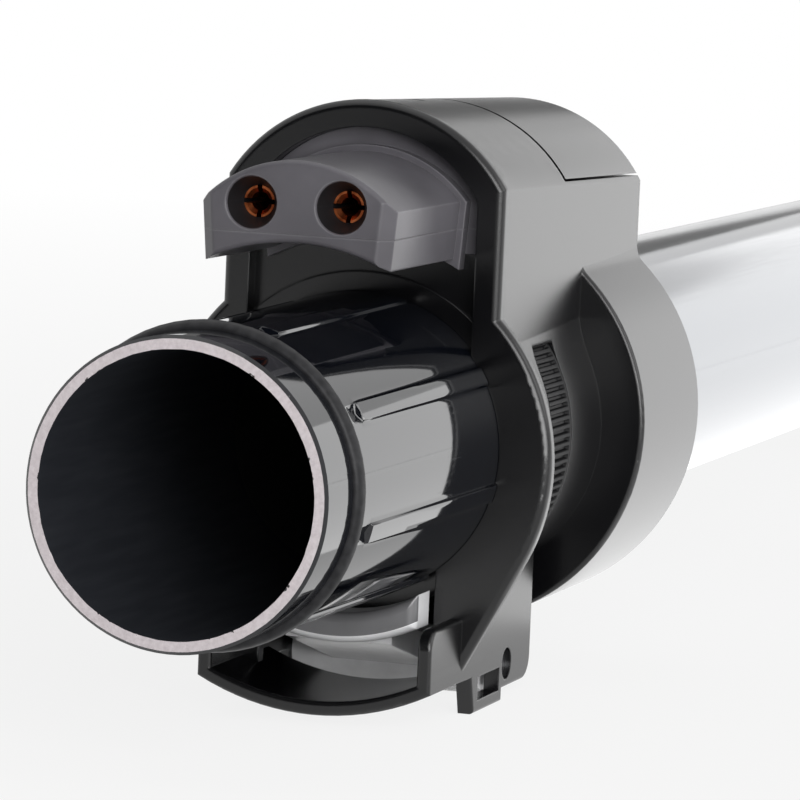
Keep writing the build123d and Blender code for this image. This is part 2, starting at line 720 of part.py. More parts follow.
# Socket housing at the far end, shaped to take a spigot and contact block like those at the near end
cavity_half = block_half_width + plug_clearance
cavity_apex = block_apex_z + plug_clearance
cavity_floor = block_arc - block_step
socket_lid_x = plug_back - socket_lid_length
socket_hood_x = socket_lid_x - hood_wall
window_x = overall_length - latch_window_edge - latch_window_length / 2
socket_cavity = arch_face(cavity_half, block_shoulder_z, cavity_apex, 0)
socket_hood = arch_face(hood_half_width, hood_corner_z, hood_apex_z, 0)
lid_shell = arch_face(hood_half_width, hood_corner_z + lid_gap, hood_apex_z, hood_corner_z + lid_gap / 2)
lid_hollow = arch_face(hood_half_width - hood_wall, hood_corner_z, hood_apex_z - hood_wall, 0)
with BuildPart() as socket_housing:
    with BuildSketch(Plane.YZ.offset(socket_rear)):
        Circle(socket_collar_radius)
    extrude(amount=socket_collar_length)
    fillet(socket_housing.edges().filter_by(GeomType.CIRCLE), radius=collar_round)
    with BuildSketch(Plane.YZ.offset(socket_rear)):
        Circle(socket_outer)
    extrude(amount=overall_length - socket_rear)
    with BuildSketch(Plane.YZ.offset(socket_hood_x)):
        add(socket_hood)
    extrude(amount=overall_length - socket_hood_x)
    fillet(socket_housing.faces().sort_by(Axis.X)[-1].edges(), radius=socket_round)
    with BuildSketch(Plane.XY.offset(-foot_depth)):
        with Locations((socket_rear, 0)):
            RectangleRounded(
                socket_foot_length,
                2 * socket_foot_half_width,
                radius=socket_foot_round,
                align=(Align.MIN, Align.CENTER),
            )
    extrude(amount=foot_depth - airway_radius)
    # Hollows: cavity for a contact block, space for the wires, lid opening
    with BuildSketch(Plane.YZ.offset(plug_back)):
        add(socket_cavity)
        Circle(cavity_floor, mode=Mode.SUBTRACT)
    extrude(amount=overall_length - plug_back, mode=Mode.SUBTRACT)
    with BuildSketch(Plane.YZ.offset(socket_lid_x)):
        add(lid_hollow)
        Circle(cavity_floor, mode=Mode.SUBTRACT)
    extrude(amount=plug_back - socket_lid_x, mode=Mode.SUBTRACT)
    with BuildSketch(Plane.YZ.offset(socket_hood_x)):
        Rectangle(2 * collar_radius, hood_apex_z + cut_margin, align=(Align.CENTER, Align.MIN))
        Rectangle(2 * collar_radius, 2 * hood_corner_z, mode=Mode.SUBTRACT)
    extrude(amount=plug_back - socket_hood_x, mode=Mode.SUBTRACT)
    # Bores, wire slot and latch window
    with BuildSketch(Plane.YZ.offset(tube_end)):
        Circle(socket_radius)
    extrude(amount=socket_depth, mode=Mode.SUBTRACT)
    with BuildSketch(Plane.YZ.offset(overall_length - socket_lead)):
        Circle(socket_radius)
    with BuildSketch(Plane.YZ.offset(overall_length)):
        Circle(socket_radius + socket_lead)
    loft(mode=Mode.SUBTRACT)
    with BuildSketch(Plane.YZ.offset(socket_rear)):
        Circle(tube_radius + fit_gap)
    extrude(amount=socket_grip, mode=Mode.SUBTRACT)
    with Locations((far_slot_x, 0, (airway_radius + cavity_floor) / 2)):
        Box(wire_slot_length, wire_slot_width, cavity_floor, mode=Mode.SUBTRACT)
    with Locations((window_x, 0, -socket_outer)):
        Box(
            latch_window_length,
            2 * (tongue_half_width + latch_window_play),
            socket_outer,
            mode=Mode.SUBTRACT,
        )
save(socket_housing, "socket_housing")

# Lid of the socket's hood
with BuildPart() as socket_lid:
    with BuildSketch(Plane.YZ.offset(socket_hood_x)):
        add(lid_shell)
        add(lid_hollow, mode=Mode.SUBTRACT)
    extrude(amount=plug_back - socket_hood_x - lid_gap)
    with BuildSketch(Plane.YZ.offset(socket_hood_x)):
        add(lid_shell)
    extrude(amount=hood_wall)
save(socket_lid, "socket_lid")

# Plug: a carrier across the cavity, and two pins that reach into a contact block
with BuildPart() as plug_carrier:
    with BuildSketch(Plane.YZ.offset(plug_back)):
        add(arch_face(cavity_half - fit_gap, block_shoulder_z, cavity_apex - fit_gap, 0))
        Circle(cavity_floor + fit_gap, mode=Mode.SUBTRACT)
        with Locations((-contact_y, contact_z), (contact_y, contact_z)):
            Circle(plug_pin_d / 2 + fit_gap, mode=Mode.SUBTRACT)
    extrude(amount=plug_length)
save(plug_carrier, "plug_carrier")

for side, name in ((1, "plug_pin_left"), (-1, "plug_pin_right")):
    with BuildPart() as plug_pin:
        with BuildSketch(Plane.YZ.offset(pin_start)):
            with Locations((side * contact_y, contact_z)):
                Circle(plug_pin_d / 2)
        extrude(amount=plug_pin_tail + plug_length + plug_pin_reach)
        fillet(plug_pin.faces().sort_by(Axis.X)[-1].edges(), radius=plug_pin_d / 4)
    save(plug_pin, name)
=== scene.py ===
# %% [markdown]
# A vacuum extension tube in a bright studio. The imported CAD model is loaded as a fixed frame. Most of
# its pieces stay as they are and get a finish. The pieces that repeat round the axis, which the camera
# sees from close by, are made again here with softer edges than a CAD solid has: the ribbed spigot, its
# seal and the serrated lock ring. The latch spring is a copy of its CAD piece.

# %% Load the frame
from math import cos, pi, radians, sin

import bmesh
import bpy
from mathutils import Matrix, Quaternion, Vector


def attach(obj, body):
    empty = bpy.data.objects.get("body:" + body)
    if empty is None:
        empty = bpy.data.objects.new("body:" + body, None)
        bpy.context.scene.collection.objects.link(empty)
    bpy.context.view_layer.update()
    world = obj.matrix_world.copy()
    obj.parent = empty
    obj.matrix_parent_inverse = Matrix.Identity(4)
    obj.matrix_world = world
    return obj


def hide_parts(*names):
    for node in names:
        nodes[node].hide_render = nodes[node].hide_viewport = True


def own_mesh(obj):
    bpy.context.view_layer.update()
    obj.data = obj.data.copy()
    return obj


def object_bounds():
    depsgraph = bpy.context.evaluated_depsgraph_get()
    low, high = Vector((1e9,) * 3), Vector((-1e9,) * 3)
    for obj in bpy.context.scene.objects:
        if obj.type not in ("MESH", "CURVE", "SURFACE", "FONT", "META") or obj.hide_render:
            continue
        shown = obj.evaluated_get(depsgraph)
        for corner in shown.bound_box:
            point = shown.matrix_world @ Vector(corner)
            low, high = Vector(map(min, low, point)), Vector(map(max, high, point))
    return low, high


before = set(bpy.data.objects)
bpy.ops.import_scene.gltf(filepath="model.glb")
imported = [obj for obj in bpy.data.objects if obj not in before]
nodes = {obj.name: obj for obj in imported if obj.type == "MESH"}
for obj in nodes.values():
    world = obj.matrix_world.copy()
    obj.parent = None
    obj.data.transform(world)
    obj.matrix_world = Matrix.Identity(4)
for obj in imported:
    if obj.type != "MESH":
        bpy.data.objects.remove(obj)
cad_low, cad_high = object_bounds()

scene = bpy.context.scene
print("pieces in the frame:", len(nodes), "length in mm:", round(1000 * (cad_high.x - cad_low.x), 1))

# %% [markdown]
# Blender counts in metres, and a part like this is drawn in millimetres, so lengths are written in
# millimetres and converted once. Colours are written as the hex values that a picture editor shows. A
# shader wants linear light, so one function undoes the sRGB curve. A second one adds a node with its
# settings and links.

# %% Units, colours and nodes
MM = 0.001


def linear(hex_colour):
    """sRGB hex to the linear colour of a shader socket."""
    channels = [int(hex_colour[i:i + 2], 16) / 255 for i in (1, 3, 5)]
    return tuple(c / 12.92 if c <= 0.04045 else ((c + 0.055) / 1.055) ** 2.4 for c in channels) + (1.0,)


def add(tree, kind, settings=None, inputs=None):
    """Add a node: settings are its properties, inputs are values or the sockets that feed it."""
    made = tree.nodes.new(kind)
    for name, value in (settings or {}).items():
        setattr(made, name, value)
    for name, value in (inputs or {}).items():
        if isinstance(value, bpy.types.NodeSocket):
            tree.links.new(value, made.inputs[name])
        else:
            made.inputs[name].default_value = value
    return made


def per_size(millimetres):
    """Scale of a texture on Object coordinates whose features have that size."""
    return 1 / (millimetres * MM)


def new_material(name):
    """A material with an empty node tree."""
    material = bpy.data.materials.new(name)
    material.use_nodes = True
    material.node_tree.nodes.clear()
    return material, material.node_tree


print("mid grey in linear light:", round(linear("#808080")[0], 3))

# %% [markdown]
# The camera stands in front of the spigot, a little to its right and slightly above, with a long lens. A
# long lens from far off keeps the mouth of the tube nearly round, as product photographers like it. The
# place, the point it looks at and the small roll were found from corners whose real size is known.

# %% Camera
camera_place = Vector((-586.0, -212.0, 76.8)) * MM
camera_aim = Vector((58.8, -7.8, 6.5)) * MM
camera_roll = radians(2.49)
camera_lens = 247.5

camera_data = bpy.data.cameras.new("camera")
camera_data.sensor_width = 36.0
camera_data.lens = camera_lens
camera_data.clip_start = 0.01
camera_data.clip_end = 100.0
camera = bpy.data.objects.new("camera", camera_data)
scene.collection.objects.link(camera)
camera.location = camera_place
camera.rotation_mode = "QUATERNION"
aim_turn = (camera_aim - camera_place).to_track_quat("-Z", "Y")
camera.rotation_quaternion = aim_turn @ Quaternion((0, 0, 1), camera_roll)
scene.camera = camera
print("camera is", round((camera_aim - camera_place).length, 3), "m from what it looks at")

# %% [markdown]
# A black glossy part shows mostly what stands round it. The room is white. A dark card stands where
# faces turned to the camera would mirror the room, so they stay dark, and a second one, above the
# picture, darkens the hood's top and the upper edge of the chrome. Low light panels stand and lie on the
# far right, out of the picture, so that walls seen at a grazing angle turn light grey. The floor is
# pale, takes the soft shadow, and is lifted to white for the camera, for gloss and for glass, the more
# so the farther it lies from the object.

# %% Room and floor
floor_size = 30.0
white_share_near = 0.84
shadow_reach = (0.25, 1.0)
room_fill = 0.26

scene.view_settings.view_transform = "Standard"


def background_rays(tree):
    """Socket that is 1 for rays that should see a white background: camera, gloss and glass."""
    path = add(tree, "ShaderNodeLightPath").outputs
    direct = add(tree, "ShaderNodeMath", {"operation": "MAXIMUM"}, {
        0: path["Is Camera Ray"], 1: path["Is Glossy Ray"]})
    return add(tree, "ShaderNodeMath", {"operation": "MAXIMUM"}, {
        0: direct.outputs[0], 1: path["Is Transmission Ray"]}).outputs[0]


world = bpy.data.worlds.new("white room")
scene.world = world
world.use_nodes = True
tree = world.node_tree
tree.nodes.clear()
strength = add(tree, "ShaderNodeMapRange", None, {
    "Value": background_rays(tree), "To Min": room_fill, "To Max": 1.0})
room = add(tree, "ShaderNodeBackground", None, {"Color": (1, 1, 1, 1), "Strength": strength.outputs[0]})
add(tree, "ShaderNodeOutputWorld", None, {"Surface": room.outputs[0]})


def flat_card(name, size, material):
    """A square of that size, facing +Z, that isn't part of the object."""
    mesh = bpy.data.meshes.new(name)
    half = size / 2
    corners = [(-half, -half, 0), (half, -half, 0), (half, half, 0), (-half, half, 0)]
    mesh.from_pydata(corners, [], [(0, 1, 2, 3)])
    mesh.materials.append(material)
    card = bpy.data.objects.new(name, mesh)
    scene.collection.objects.link(card)
    return card


floor_material, tree = new_material("pale studio floor")
away = add(tree, "ShaderNodeVectorMath", {"operation": "LENGTH"}, {
    0: add(tree, "ShaderNodeTexCoord").outputs["Object"]})
white = add(tree, "ShaderNodeMapRange", None, {
    "Value": away.outputs["Value"], "From Min": shadow_reach[0], "From Max": shadow_reach[1],
    "To Min": white_share_near, "To Max": 1.0})
share = add(tree, "ShaderNodeMath", {"operation": "MULTIPLY"}, {
    0: background_rays(tree), 1: white.outputs[0]})
paint = add(tree, "ShaderNodeBsdfDiffuse", None, {"Color": linear("#F2F2F0")})
glow = add(tree, "ShaderNodeEmission", None, {"Color": (1, 1, 1, 1), "Strength": 1.0})
both = add(tree, "ShaderNodeMixShader", None, {0: share.outputs[0], 1: paint.outputs[0], 2: glow.outputs[0]})
add(tree, "ShaderNodeOutputMaterial", None, {"Surface": both.outputs[0]})
floor = flat_card("floor", floor_size, floor_material)
floor.location.z = cad_low.z

for name, colour, size, place in (
    ("card_behind_camera", "#181818", 1.8, (-1.2, 0.4, 0.1)),
    ("card_behind_object", "#A8A8A8", 0.8, (1.35, 0.6, 0.55)),
):
    card_material, tree = new_material("studio " + name)
    paint = add(tree, "ShaderNodeBsdfDiffuse", None, {"Color": linear(colour)})
    add(tree, "ShaderNodeOutputMaterial", None, {"Surface": paint.outputs[0]})
    card = flat_card(name, size, card_material)
    card.location = place
    card.rotation_euler = (0, radians(90), 0)
    card.visible_camera = False
print("floor lies at", round(cad_low.z / MM, 1), "mm, under the feet")

# %% [markdown]
# Area lamps are the soft boxes and panels of the studio. Their power follows from the brightness that a
# mirror would show, so panels of different sizes can be compared: power is pi times area times
# brightness. A mirror adds that to the white that lies behind the panel, because a lamp's face doesn't
# hide anything.

# %% Lamps


def panel(name, place, aim, width, height, brightness):
    """A rectangular area lamp at a place that looks at a point, with the brightness that its face shows."""
    lamp = bpy.data.lights.new(name, "AREA")
    lamp.shape = "RECTANGLE"
    lamp.size = width
    lamp.size_y = height
    lamp.energy = pi * width * height * brightness
    lamp_object = bpy.data.objects.new(name, lamp)
    scene.collection.objects.link(lamp_object)
    lamp_object.location = place
    lamp_object.rotation_mode = "QUATERNION"
    lamp_object.rotation_quaternion = (Vector(aim) - Vector(place)).to_track_quat("-Z", "Y")
    lamp_object.visible_camera = False
    print(name, "has", round(lamp.energy, 1), "W")
    return lamp_object


above_floor = cad_low.z + 2 * MM
panel("front_softbox", (-1.0, -0.6, 0.4), camera_aim, 0.7, 0.7, 5.6)
panel("low_softbox", (-0.7, -0.85, 0.12), camera_aim, 0.7, 0.25, 6.0)
panel("side_softbox", (0.2, -1.1, 0.55), camera_aim, 0.7, 0.7, 1.6)
panel("top_softbox", (0.0, 0.2, 1.2), camera_aim, 0.8, 0.8, 0.4)
panel("rear_panel", (1.25, -0.5, 0.13), (0.0, -0.5, 0.13), 1.2, 0.32, 0.85)
for name, centre, width, height in (
    ("floor_panel", (0.66, -0.39, above_floor), 1.2, 0.71),
    ("under_panel", (0.28, 0.06, above_floor), 0.28, 0.19),
):
    lying = panel(name, centre, (*centre[:2], 1.0), width, height, 0.85)
    lying.rotation_quaternion = Quaternion((1, 0, 0), pi)

# %% [markdown]
# Chromed steel is a mirror with a thin film of use on it. The tube was polished along its length, so its
# fine lines run that way: a noise that is stretched along X. Inside, the tube isn't plated, and dust has
# turned it dark. The distance from the axis tells the two faces apart.

# %% Chromed steel
tube_middle_radius = 17.5
polish_line = 0.35
polish_stretch = 60.0
polish_height = 0.001


def axis_distance(tree, place):
    """Socket with the distance from the tube's axis, in metres."""
    parts = add(tree, "ShaderNodeSeparateXYZ", None, {0: place}).outputs
    across = add(tree, "ShaderNodeCombineXYZ", None, {"Y": parts["Y"], "Z": parts["Z"]})
    length = add(tree, "ShaderNodeVectorMath", {"operation": "LENGTH"}, {0: across.outputs[0]})
    return length.outputs["Value"]


def chromed_steel():
    """Bright plated steel outside, dull dark steel inside."""
    material, tree = new_material("chromed steel")
    place = add(tree, "ShaderNodeTexCoord").outputs["Object"]
    outside = add(tree, "ShaderNodeMath", {"operation": "GREATER_THAN"}, {
        0: axis_distance(tree, place), 1: tube_middle_radius * MM}).outputs[0]
    stretched = add(tree, "ShaderNodeMapping", None, {"Vector": place, "Scale": (1 / polish_stretch, 1, 1)})
    lines = add(tree, "ShaderNodeTexNoise", None, {
        "Vector": stretched.outputs[0], "Scale": per_size(polish_line), "Detail": 3.0})
    gloss = add(tree, "ShaderNodeMapRange", None, {
        "Value": lines.outputs[0], "From Min": 0.3, "From Max": 0.7, "To Min": 0.1, "To Max": 0.13})
    rough = add(tree, "ShaderNodeMix", None, {0: outside, 2: 0.8, 3: gloss.outputs[0]})
    colour = add(tree, "ShaderNodeMix", {"data_type": "RGBA"}, {
        0: outside, 6: linear("#08090A"), 7: linear("#84868A")})
    bump = add(tree, "ShaderNodeBump", None, {
        "Height": lines.outputs[0], "Strength": 0.1, "Distance": polish_height * MM})
    shader = add(tree, "ShaderNodeBsdfPrincipled", None, {
        "Base Color": colour.outputs[2], "Metallic": outside, "Roughness": rough.outputs[0],
        "Normal": bump.outputs[0]})
    add(tree, "ShaderNodeOutputMaterial", None, {"Surface": shader.outputs[0]})
    return material


chrome = chromed_steel()
print("made", chrome.name)

# %% [markdown]
# The housing is ABS moulded in a spark-eroded tool, which leaves an even fine grain. The grain scatters
# gloss, so the black looks satin: dark from the front and light grey at a grazing angle. The contact
# block and the lever are moulded too, with a finer grain, so one function serves all of them. The lock
# ring is filled with glass fibre, which makes it dull. A mould has no knife edges: the Bevel node turns
# the normals at an edge as a small radius would. Where its normal leaves the face's own, there is an
# edge, and the colour is painted a little paler there: partly wear from handling, partly a painted
# highlight along the rounded edge. That goes for edges that stand out: in a hollow corner, where the
# Ambient Occlusion node sees a wall close by, the finish stays plain. The grain is worn down in patches,
# and dust and fingers leave faint smudges. Some mouldings have a zone with another finish: the trough's
# floor was polished, so that the tongue slides in easily, the funnels of the contact block are painted
# dark as painted shade in the holes, the face of the lever's tongue down to its rounded edge is painted
# darker as painted shade from the spigot above it, and the front edge of the hood's lid carries a black,
# dull band of painted shadow in the seam.

# %% Moulded plastics
edge_round = 0.35
# How far the paler edge colour reaches: partly wear, partly a painted highlight along rounded edges.
edge_wear_and_highlight = 0.12
corner_reach = 1.2
smudge_size = 9.0
anywhere = 1000.0


def tube_zone(tree, place, axis, radii, along, below):
    """Socket that is 1 in a tube along X and 0 elsewhere, in millimetres:
    axis as (|y|, z), radii and x as (low, high), and z below a limit."""
    parts = add(tree, "ShaderNodeSeparateXYZ", None, {0: place}).outputs
    either_side = add(tree, "ShaderNodeMath", {"operation": "ABSOLUTE"}, {0: parts["Y"]})
    across = add(tree, "ShaderNodeCombineXYZ", None, {"Y": either_side.outputs[0], "Z": parts["Z"]})
    distance = add(tree, "ShaderNodeVectorMath", {"operation": "DISTANCE"}, {
        0: across.outputs[0], 1: (0.0, axis[0] * MM, axis[1] * MM)})
    inside = add(tree, "ShaderNodeMath", {"operation": "LESS_THAN"}, {0: parts["Z"], 1: below * MM})
    for value, (low, high) in ((distance.outputs["Value"], radii), (parts["X"], along)):
        between = add(tree, "ShaderNodeMath", {"operation": "COMPARE"}, {
            0: value, 1: (low + high) / 2 * MM, 2: (high - low) / 2 * MM})
        inside = add(tree, "ShaderNodeMath", {"operation": "MULTIPLY"}, {
            0: inside.outputs[0], 1: between.outputs[0]})
    return inside.outputs[0]


def moulded_plastic(name, main, wear_and_highlight_colour, grain, grain_height, zone, inside):
    """Grained plastic, with the grain's size and height in millimetres. main is its colour, roughness and
    specular level, and inside is the same for a tube_zone of it."""
    colour, roughness, specular = main
    zone_colour, zone_roughness, zone_specular = inside
    material, tree = new_material(name)
    place = add(tree, "ShaderNodeTexCoord").outputs["Object"]
    other = tube_zone(tree, place, *zone)
    rounded = add(tree, "ShaderNodeBevel", {"samples": 6}, {"Radius": edge_round * MM}).outputs[0]
    face_normal = add(tree, "ShaderNodeNewGeometry").outputs["Normal"]
    open_share = add(tree, "ShaderNodeAmbientOcclusion", {"samples": 4}, {"Distance": corner_reach * MM})
    stands_out = add(tree, "ShaderNodeMapRange", None, {
        "Value": open_share.outputs["AO"], "From Min": 0.7, "From Max": 0.9})
    soft_edges = add(tree, "ShaderNodeMix", {"data_type": "VECTOR"}, {
        0: stands_out.outputs[0], 4: face_normal, 5: rounded}).outputs[1]
    alike = add(tree, "ShaderNodeVectorMath", {"operation": "DOT_PRODUCT"}, {0: soft_edges, 1: face_normal})
    pits = add(tree, "ShaderNodeTexNoise", None, {
        "Vector": place, "Scale": per_size(grain), "Detail": 2.0, "Roughness": 0.6}).outputs[0]
    cloud = add(tree, "ShaderNodeTexNoise", None, {
        "Vector": place, "Scale": per_size(smudge_size), "Detail": 4.0}).outputs[0]
    # Paler edges: partly wear, partly a painted highlight along the rounded edges.
    worn = add(tree, "ShaderNodeMapRange", None, {
        "Value": alike.outputs["Value"], "From Min": 1 - edge_wear_and_highlight, "From Max": 1.0,
        "To Min": 1.0, "To Max": 0.0})
    patchy = add(tree, "ShaderNodeMath", {"operation": "MULTIPLY"}, {0: worn.outputs[0], 1: cloud})
    plain = add(tree, "ShaderNodeMix", {"data_type": "RGBA"}, {
        0: other, 6: linear(colour), 7: linear(zone_colour)})
    smudge = add(tree, "ShaderNodeMapRange", None, {
        "Value": cloud, "From Min": 0.3, "From Max": 0.7, "To Min": 0.82, "To Max": 1.15})
    ground = add(tree, "ShaderNodeMix", {"data_type": "RGBA", "blend_type": "MULTIPLY"}, {
        0: 1.0, 6: plain.outputs[2], 7: smudge.outputs[0]})
    left_grain = add(tree, "ShaderNodeMapRange", None, {
        "Value": cloud, "From Min": 0.42, "From Max": 0.62, "To Min": 0.3, "To Max": 1.0})
    shade = add(tree, "ShaderNodeMix", {"data_type": "RGBA"}, {
        0: patchy.outputs[0], 6: ground.outputs[2], 7: linear(wear_and_highlight_colour)})
    rough = add(tree, "ShaderNodeMix", None, {0: other, 2: roughness, 3: zone_roughness})
    if zone_specular != specular:
        specular = add(tree, "ShaderNodeMix", None, {0: other, 2: specular, 3: zone_specular}).outputs[0]
    bump = add(tree, "ShaderNodeBump", None, {
        "Height": pits, "Strength": left_grain.outputs[0], "Distance": grain_height * MM,
        "Normal": soft_edges})
    shader = add(tree, "ShaderNodeBsdfPrincipled", None, {
        "Base Color": shade.outputs[2], "Roughness": rough.outputs[0], "IOR": 1.53,
        "Specular IOR Level": specular, "Normal": bump.outputs[0]})
    add(tree, "ShaderNodeOutputMaterial", None, {"Surface": shader.outputs[0]})
    return material


trough_floor = ((0.0, 0.0), (30.6, 31.4), (52.9, 75.0), -15.0)
# Painted shade: the funnels of the contact block are painted dark inside, where shade falls.
funnel_shade = ((5.7, 31.2), (0.0, 3.15), (38.8, 60.0), anywhere)
# Painted shade: the face of the lever's tongue, under the spigot, is painted darker than the lever.
tongue_shade = ((0.0, 0.0), (0.0, 23.7), (50.0, 60.6), anywhere)
# Painted shadow: a black, dull band along the lid's front edge stands in for the shadow in the seam.
seam_shadow = ((0.0, 0.0), (0.0, 60.0), (94.0, 95.0), anywhere)
nowhere = ((0.0, 0.0), (0.0, 0.0), (-anywhere, -anywhere), -anywhere)

satin_black = ("#08080A", 0.24, 0.5)
matt_black = ("#08080A", 0.5, 0.15)
soft_black = ("#262628", 0.5, 0.5)
# The third value of each is the colour of the paler edges: partly wear, partly a painted highlight.
housing_black = moulded_plastic(
    "grained black ABS", satin_black, "#2C2C2E", 0.4, 0.009, trough_floor, ("#08080A", 0.2, 0.5))
# Its zone colour is the painted shadow in the lid's seam.
lid_black = moulded_plastic(
    "grained black ABS, lid", satin_black, "#2C2C2E", 0.4, 0.009, seam_shadow, ("#050505", 0.9, 0.0))
ring_black = moulded_plastic(
    "glass-filled black PA", matt_black, "#1C1C1E", 0.4, 0.009, nowhere, matt_black)
# Its zone colour is the painted shade in the contact funnels.
block_grey = moulded_plastic(
    "moulded grey PBT", ("#5E5C61", 0.3, 0.3), "#8A888C", 0.3, 0.004, funnel_shade, ("#171618", 0.5, 0.3))
# Its zone colour is the painted shade on the tongue's face.
lever_grey = moulded_plastic(
    "moulded pale POM", ("#F2F2F4", 0.18, 0.5), "#F4F4F6", 0.3, 0.002, tongue_shade, ("#6C6C6E", 0.35, 0.5))
wire_pvc = moulded_plastic(
    "soft black PVC", soft_black, "#38383A", 0.4, 0.01, nowhere, soft_black)
for finish in (housing_black, lid_black, ring_black, block_grey, lever_grey, wire_pvc):
    print("made", finish.name)

# %% [markdown]
# The spigot came out of a polished tool, so it is as glossy as lacquer. Use has left hair-fine scratches
# along it and a little dust. Its mouth was cut off with a saw: the cut face is dull, pale and rough,
# with chips along its inner edge. The bore is matt from the dust that has passed through. All are the
# same plastic, so the finishes are three materials on one piece.

# %% Glossy black, its sawn face and its bore
mouth_radius = 16.8
chip_reach = 0.55
chip_size = 1.7
saw_mark = 0.7
scratch_width = 0.3
scratch_stretch = 25.0
dust_spacing = 1.6
streak_width = 1.5
streak_stretch = 10.0


def polished_black():
    """Mirror-glossy black with faint scratches along the spigot and specks of dust."""
    material, tree = new_material("polished black ABS")
    place = add(tree, "ShaderNodeTexCoord").outputs["Object"]
    stretched = add(tree, "ShaderNodeMapping", None, {"Vector": place, "Scale": (1 / scratch_stretch, 1, 1)})
    scratches = add(tree, "ShaderNodeTexNoise", None, {
        "Vector": stretched.outputs[0], "Scale": per_size(scratch_width), "Detail": 4.0, "Roughness": 0.7})
    marked = add(tree, "ShaderNodeMapRange", None, {
        "Value": scratches.outputs[0], "From Min": 0.6, "From Max": 0.75, "To Min": 0.04, "To Max": 0.16})
    dust = add(tree, "ShaderNodeTexVoronoi", {"feature": "F1"}, {
        "Vector": place, "Scale": per_size(dust_spacing)})
    speck = add(tree, "ShaderNodeMapRange", None, {
        "Value": dust.outputs["Distance"], "From Min": 0.05, "From Max": 0.09, "To Min": 1.0, "To Max": 0.0})
    colour = add(tree, "ShaderNodeMix", {"data_type": "RGBA"}, {
        0: speck.outputs[0], 6: linear("#0D0F15"), 7: linear("#3E3E40")})
    bump = add(tree, "ShaderNodeBump", None, {
        "Height": scratches.outputs[0], "Strength": 0.2, "Distance": 0.004 * MM})
    shader = add(tree, "ShaderNodeBsdfPrincipled", None, {
        "Base Color": colour.outputs[2], "Roughness": marked.outputs[0], "IOR": 1.54,
        "Normal": bump.outputs[0]})
    add(tree, "ShaderNodeOutputMaterial", None, {"Surface": shader.outputs[0]})
    return material


def sawn_face():
    """Dull pale cut face with saw marks, and dark chips along its inner edge."""
    material, tree = new_material("sawn black ABS")
    place = add(tree, "ShaderNodeTexCoord").outputs["Object"]
    marks = add(tree, "ShaderNodeTexNoise", None, {
        "Vector": place, "Scale": per_size(saw_mark), "Detail": 6.0, "Roughness": 0.7}).outputs[0]
    tone = add(tree, "ShaderNodeValToRGB", None, {"Fac": marks})
    ramp = tone.color_ramp.elements
    ramp[0].position, ramp[0].color = 0.3, linear("#BEB5B8")
    ramp[1].position, ramp[1].color = 0.65, linear("#D6CED1")
    from_edge = add(tree, "ShaderNodeMapRange", None, {
        "Value": axis_distance(tree, place), "From Min": mouth_radius * MM,
        "From Max": (mouth_radius + chip_reach) * MM, "To Min": 0.0, "To Max": 1.0})
    bites = add(tree, "ShaderNodeTexNoise", None, {
        "Vector": place, "Scale": per_size(chip_size), "Detail": 3.0, "Roughness": 0.6}).outputs[0]
    depth = add(tree, "ShaderNodeMapRange", None, {
        "Value": bites, "From Min": 0.6, "From Max": 0.8, "To Min": 0.0, "To Max": 1.0})
    chipped = add(tree, "ShaderNodeMath", {"operation": "LESS_THAN"}, {
        0: from_edge.outputs[0], 1: depth.outputs[0]})
    colour = add(tree, "ShaderNodeMix", {"data_type": "RGBA"}, {
        0: chipped.outputs[0], 6: tone.outputs[0], 7: linear("#1A191A")})
    bump = add(tree, "ShaderNodeBump", None, {"Height": marks, "Strength": 0.6, "Distance": 0.05 * MM})
    shader = add(tree, "ShaderNodeBsdfPrincipled", None, {
        "Base Color": colour.outputs[2], "Roughness": 0.75, "Normal": bump.outputs[0]})
    add(tree, "ShaderNodeOutputMaterial", None, {"Surface": shader.outputs[0]})
    return material


def dusty_bore():
    """Nearly black matt wall of the airway, with streaks of fine dust along it."""
    material, tree = new_material("dusty black ABS")
    place = add(tree, "ShaderNodeTexCoord").outputs["Object"]
    stretched = add(tree, "ShaderNodeMapping", None, {"Vector": place, "Scale": (1 / streak_stretch, 1, 1)})
    streaks = add(tree, "ShaderNodeTexNoise", None, {
        "Vector": stretched.outputs[0], "Scale": per_size(streak_width), "Detail": 4.0})
    tone = add(tree, "ShaderNodeValToRGB", None, {"Fac": streaks.outputs[0]})
    ramp = tone.color_ramp.elements
    ramp[0].position, ramp[0].color = 0.4, linear("#25272C")
    ramp[1].position, ramp[1].color = 0.8, linear("#2D2F34")
    shader = add(tree, "ShaderNodeBsdfPrincipled", None, {
        "Base Color": tone.outputs[0], "Roughness": 0.85, "Specular IOR Level": 0.1})
    add(tree, "ShaderNodeOutputMaterial", None, {"Surface": shader.outputs[0]})
    return material


spigot_black = polished_black()
spigot_cut = sawn_face()
spigot_bore = dusty_bore()
print("made", spigot_black.name, spigot_cut.name, spigot_bore.name)

# %% [markdown]
# Seal rubber, copper and steel are the small finishes: rubber is dull with a powdery bloom, copper is
# warm and a little tarnished in the holes, and the pin and the spring are plain drawn steel.

# %% Rubber, copper and steel
bloom_size = 1.2


def seal_rubber():
    """Dull dark rubber with a slight bloom."""
    material, tree = new_material("nitrile rubber")
    place = add(tree, "ShaderNodeTexCoord").outputs["Object"]
    bloom = add(tree, "ShaderNodeTexNoise", None, {
        "Vector": place, "Scale": per_size(bloom_size), "Detail": 5.0}).outputs[0]
    tone = add(tree, "ShaderNodeValToRGB", None, {"Fac": bloom})
    ramp = tone.color_ramp.elements
    ramp[0].position, ramp[0].color = 0.35, linear("#1A1A1C")
    ramp[1].position, ramp[1].color = 0.7, linear("#2E2E30")
    bump = add(tree, "ShaderNodeBump", None, {"Height": bloom, "Strength": 0.3, "Distance": 0.02 * MM})
    shader = add(tree, "ShaderNodeBsdfPrincipled", None, {
        "Base Color": tone.outputs[0], "Roughness": 0.42, "Specular IOR Level": 0.2,
        "Normal": bump.outputs[0]})
    add(tree, "ShaderNodeOutputMaterial", None, {"Surface": shader.outputs[0]})
    return material


